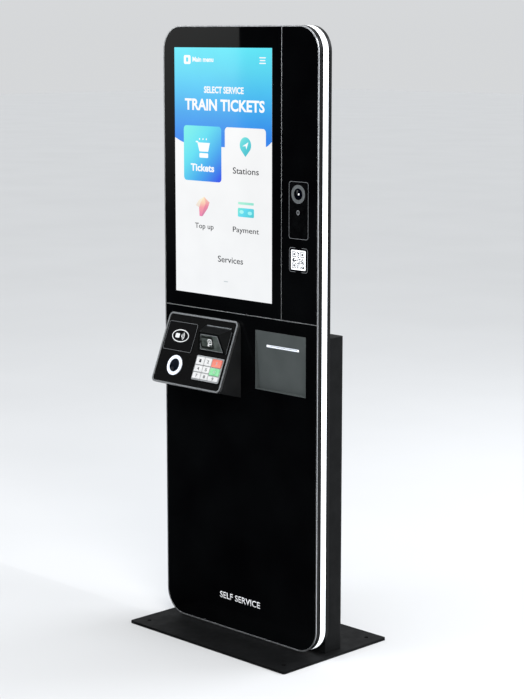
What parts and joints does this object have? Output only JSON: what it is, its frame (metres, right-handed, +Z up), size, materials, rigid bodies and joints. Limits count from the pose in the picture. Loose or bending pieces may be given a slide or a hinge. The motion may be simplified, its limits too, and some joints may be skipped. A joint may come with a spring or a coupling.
{
  "type": "ticket vending machine",
  "caption": "Slim upright self-service ticket kiosk with portrait touch screen, tilted payment console, ticket niche, side light ring and rear service cabinet on a floor plate.",
  "frame": {"origin": "centre of the floor plate's underside", "axes": "+Z up, +Y towards the back, +X to the right seen from the front"},
  "size_m": [0.64, 0.42, 1.75],
  "materials": {
    "black_steel": "satin powder coat",
    "black_frame": "satin black",
    "silver_trim": "anodised",
    "console_trim": "bead-blasted anodised",
    "light_diffuser": "opal, lit",
    "light_strip": "white board",
    "black_glass": "back-painted gloss",
    "display": "module casing",
    "zinc": "zinc plated",
    "screws": "bright plated",
    "camera_black": "fine texture",
    "lens": "coated",
    "sign": "lit code square",
    "console_shell": "fine texture dark grey",
    "console_black": "semi gloss",
    "reader": "gloss",
    "hood": "moulded",
    "scan_glass": "smoked",
    "electronics": "moulded",
    "keypad_metal": "satin",
    "key_white": "moulded",
    "key_red": "moulded",
    "key_green": "moulded",
    "button_light": "opal, lit",
    "button_navy": "gloss",
    "niche_grey": "satin grey",
    "slot_light": "opal, lit",
    "steel": "rolled sheet",
    "head_metal": "cast",
    "rubber": "ground",
    "gear_plastic": "moulded acetal",
    "brass": "turned",
    "motor_steel": "zinc black",
    "blade_steel": "ground",
    "paper": "thermal paper",
    "fan_black": "moulded",
    "computer_black": "black anodised",
    "psu": "sheet",
    "rocker_red": "moulded",
    "lock_metal": "plated"
  },
  "bodies": {
    "kiosk": {"base_plate": "black_steel", "base_bolts": "zinc", "rear_box": "black_steel", "hinge_lower": "black_frame", "slab_frame": "black_frame", "front_trim": "silver_trim", "led_diffuser": "light_diffuser", "led_strip": "light_strip", "divider_trim": "silver_trim", "touch_glass": "black_glass", "side_panel": "black_glass", "lower_panel": "black_glass", "display_panel": "display", "display_rails": "zinc", "rear_cover": "black_steel", "cover_screws": "screws", "camera_housing": "camera_black", "camera_lens": "lens", "code_sign": "sign", "console_housing": "console_shell", "console_trim": "console_trim", "console_face": "console_black", "reader_tile": "reader", "scanner_hood": "hood", "scanner_window": "scan_glass", "scanner_engine": "electronics", "keypad_body": "keypad_metal", "button_ring": "button_light", "button_switch": "electronics", "printer_bezel": "niche_grey", "slot_light": "slot_light", "printer_frame": "steel", "thermal_head": "head_metal", "printer_motor": "motor_steel", "roll_spindle": "electronics", "fan_frame": "fan_black", "computer": "computer_black", "power_supply": "psu", "power_inlet": "electronics"},
    "door": {"rear_door": "black_steel", "hinge_upper": "black_frame", "lock_body": "lock_metal"},
    "lock": {"lock_cam": "lock_metal"},
    "call_button": {"button_cap": "button_navy"},
    "platen": {"platen_roller": "rubber", "platen_gear": "gear_plastic"},
    "pinion": {"motor_pinion": "brass"},
    "paper": {"paper_roll": "paper"},
    "cutter": {"cutter_blade": "blade_steel"},
    "fan": {"fan_impeller": "fan_black"},
    "rocker": {"power_switch": "rocker_red"},
    "key_1_body": {"key_1": "key_white"},
    "key_2_body": {"key_2": "key_white"},
    "key_cancel_body": {"key_cancel": "key_red"},
    "key_4_body": {"key_4": "key_white"},
    "key_5_body": {"key_5": "key_white"},
    "key_enter_body": {"key_enter": "key_green"},
    "key_7_body": {"key_7": "key_white"},
    "key_8_body": {"key_8": "key_white"},
    "key_9_body": {"key_9": "key_white"}
  },
  "joints": [
    {"name": "door_hinge", "type": "hinge", "parent": "kiosk", "child": "door", "pos_m": [-0.26125, 0.059, 0.4675], "axis": [0, 0, 1], "range_deg": [0, 110]},
    {"name": "lock_turn", "type": "hinge", "parent": "door", "child": "lock", "pos_m": [0.2345, 0.053, 0.4675], "axis": [0, 1, 0], "range_deg": [0, 90]},
    {"name": "call_press", "type": "slide", "parent": "kiosk", "child": "call_button", "axis": [0, 0.9272, -0.3746], "range_m": [0, 0.003], "stiffness_N_per_m": 600},
    {"name": "platen_spin", "type": "hinge", "parent": "kiosk", "child": "platen", "pos_m": [0.17275, -0.046, 0.8619], "axis": [1, 0, 0], "continuous": true},
    {"name": "pinion_spin", "type": "hinge", "parent": "kiosk", "child": "pinion", "pos_m": [0.17275, -0.03186, 0.84776], "axis": [1, 0, 0], "continuous": true},
    {"name": "paper_spin", "type": "hinge", "parent": "kiosk", "child": "paper", "pos_m": [0.17275, -0.002, 0.8], "axis": [1, 0, 0], "continuous": true},
    {"name": "cutter_slide", "type": "slide", "parent": "kiosk", "child": "cutter", "axis": [0, 0, -1], "range_m": [0, 0.005]},
    {"name": "fan_spin", "type": "hinge", "parent": "kiosk", "child": "fan", "pos_m": [0.06, -0.03, 1.64], "axis": [0, 1, 0], "continuous": true},
    {"name": "rocker_tilt", "type": "hinge", "parent": "kiosk", "child": "rocker", "pos_m": [0.197, 0.054, 0.034], "axis": [1, 0, 0], "range_deg": [-16, 0]},
    {"name": "key_1_press", "type": "slide", "parent": "kiosk", "child": "key_1_body", "axis": [0, 0.9272, -0.3746], "range_m": [0, 0.0015], "stiffness_N_per_m": 500},
    {"name": "key_2_press", "type": "slide", "parent": "kiosk", "child": "key_2_body", "axis": [0, 0.9272, -0.3746], "range_m": [0, 0.0015], "stiffness_N_per_m": 500},
    {"name": "key_cancel_press", "type": "slide", "parent": "kiosk", "child": "key_cancel_body", "axis": [0, 0.9272, -0.3746], "range_m": [0, 0.0015], "stiffness_N_per_m": 500},
    {"name": "key_4_press", "type": "slide", "parent": "kiosk", "child": "key_4_body", "axis": [0, 0.9272, -0.3746], "range_m": [0, 0.0015], "stiffness_N_per_m": 500},
    {"name": "key_5_press", "type": "slide", "parent": "kiosk", "child": "key_5_body", "axis": [0, 0.9272, -0.3746], "range_m": [0, 0.0015], "stiffness_N_per_m": 500},
    {"name": "key_enter_press", "type": "slide", "parent": "kiosk", "child": "key_enter_body", "axis": [0, 0.9272, -0.3746], "range_m": [0, 0.0015], "stiffness_N_per_m": 500},
    {"name": "key_7_press", "type": "slide", "parent": "kiosk", "child": "key_7_body", "axis": [0, 0.9272, -0.3746], "range_m": [0, 0.0015], "stiffness_N_per_m": 500},
    {"name": "key_8_press", "type": "slide", "parent": "kiosk", "child": "key_8_body", "axis": [0, 0.9272, -0.3746], "range_m": [0, 0.0015], "stiffness_N_per_m": 500},
    {"name": "key_9_press", "type": "slide", "parent": "kiosk", "child": "key_9_body", "axis": [0, 0.9272, -0.3746], "range_m": [0, 0.0015], "stiffness_N_per_m": 500}
  ],
  "couplings": [
    {"joint": "pinion_spin", "follows": "platen_spin", "ratio": -2.3333},
    {"joint": "paper_spin", "follows": "platen_spin", "ratio": 0.19048}
  ]
}
